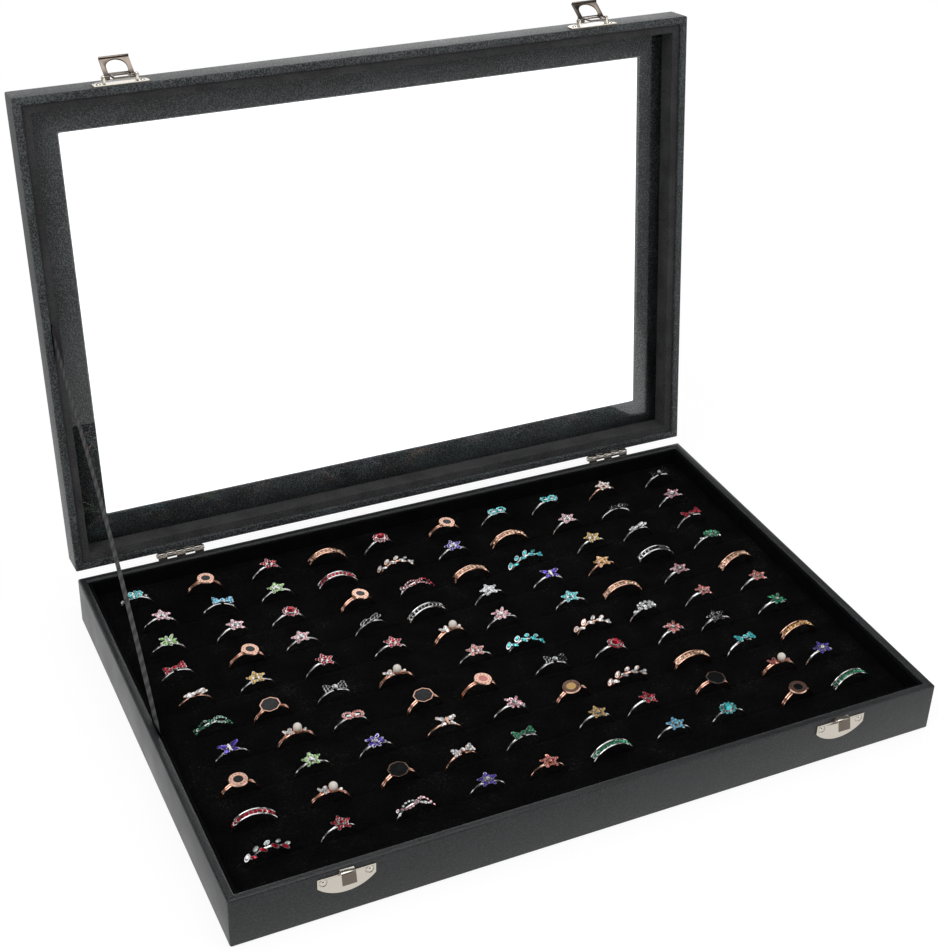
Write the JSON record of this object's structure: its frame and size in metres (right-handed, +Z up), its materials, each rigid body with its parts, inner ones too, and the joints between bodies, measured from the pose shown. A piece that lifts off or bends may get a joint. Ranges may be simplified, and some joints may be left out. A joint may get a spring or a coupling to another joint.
{
  "type": "ring display box",
  "caption": "Flat leatherette display box with a slit velvet pad holding rows of rings, a glazed hinged lid on a stay ribbon and two draw latches.",
  "frame": {"origin": "centre of the felt bottom that the box stands on", "axes": "+X to the right along the front, +Y to the back where the hinges are, +Z up"},
  "size_m": [0.35, 0.2915, 0.2767],
  "materials": {
    "board": "raw",
    "leatherette": "satin",
    "felt": "matte",
    "base_lining": "matte",
    "lid_lining": "matte",
    "card": "matte",
    "foam": "matte",
    "velvet": "matte",
    "ring_metal": "polished",
    "ribbon": "matte",
    "glass": "polished",
    "nickel": "polished"
  },
  "bodies": {
    "base": {"base_front_board": "board", "base_back_board": "board", "base_left_board": "board", "base_right_board": "board", "base_bottom_board": "board", "base_cover": "leatherette", "base_bottom_felt": "felt", "base_liner_front": "base_lining", "base_liner_back": "base_lining", "base_liner_left": "base_lining", "base_liner_right": "base_lining", "ring_pad_board": "card", "ring_pad_foam": "foam", "ring_pad_velvet": "velvet", "ring_row_1": "ring_metal", "ring_row_2": "ring_metal", "ring_row_3": "ring_metal", "ring_row_4": "ring_metal", "ring_row_5": "ring_metal", "ring_row_6": "ring_metal", "ring_row_7": "ring_metal", "ring_row_8": "ring_metal", "ring_row_9": "ring_metal", "ring_row_10": "ring_metal", "left_catch": "nickel", "right_catch": "nickel", "catch_nails": "nickel", "left_hinge_base_leaf": "nickel", "right_hinge_base_leaf": "nickel", "left_hinge_pin": "nickel", "right_hinge_pin": "nickel", "hinge_base_nails": "nickel", "stay_ribbon": "ribbon"},
    "lid": {"lid_front_board": "board", "lid_back_board": "board", "lid_left_board": "board", "lid_right_board": "board", "lid_border_board": "board", "lid_cover": "leatherette", "lid_glass": "glass", "lid_liner_front": "lid_lining", "lid_liner_back": "lid_lining", "lid_liner_left": "lid_lining", "lid_liner_right": "lid_lining", "left_latch_plate": "nickel", "right_latch_plate": "nickel", "latch_nails": "nickel", "latch_pins": "nickel", "left_hinge_lid_leaf": "nickel", "right_hinge_lid_leaf": "nickel", "hinge_lid_nails": "nickel"},
    "left_lever": {"left_lever": "nickel"},
    "right_lever": {"right_lever": "nickel"},
    "left_bail": {"left_bail": "nickel"},
    "right_bail": {"right_bail": "nickel"}
  },
  "joints": [
    {"name": "lid_hinge", "type": "hinge", "parent": "base", "child": "lid", "pos_m": [0, 0.122, 0.027], "axis": [1, 0, 0], "range_deg": [0, 97.45], "deforming": ["stay_ribbon"]},
    {"name": "left_lever_pivot", "type": "hinge", "parent": "lid", "child": "left_lever", "pos_m": [-0.1242, 0.15658, 0.26987], "axis": [-1, 0, 0], "range_deg": [-94, 36]},
    {"name": "right_lever_pivot", "type": "hinge", "parent": "lid", "child": "right_lever", "pos_m": [0.1208, 0.15658, 0.26987], "axis": [-1, 0, 0], "range_deg": [-94, 36]},
    {"name": "left_bail_pivot", "type": "hinge", "parent": "left_lever", "child": "left_bail", "pos_m": [-0.1242, 0.16011, 0.27008], "axis": [1, 0, 0], "range_deg": [-94, 36]},
    {"name": "right_bail_pivot", "type": "hinge", "parent": "right_lever", "child": "right_bail", "pos_m": [0.1208, 0.16011, 0.27008], "axis": [1, 0, 0], "range_deg": [-94, 36]}
  ],
  "couplings": [
    {"joint": "left_bail_pivot", "follows": "left_lever_pivot", "ratio": 1},
    {"joint": "right_bail_pivot", "follows": "right_lever_pivot", "ratio": 1}
  ]
}
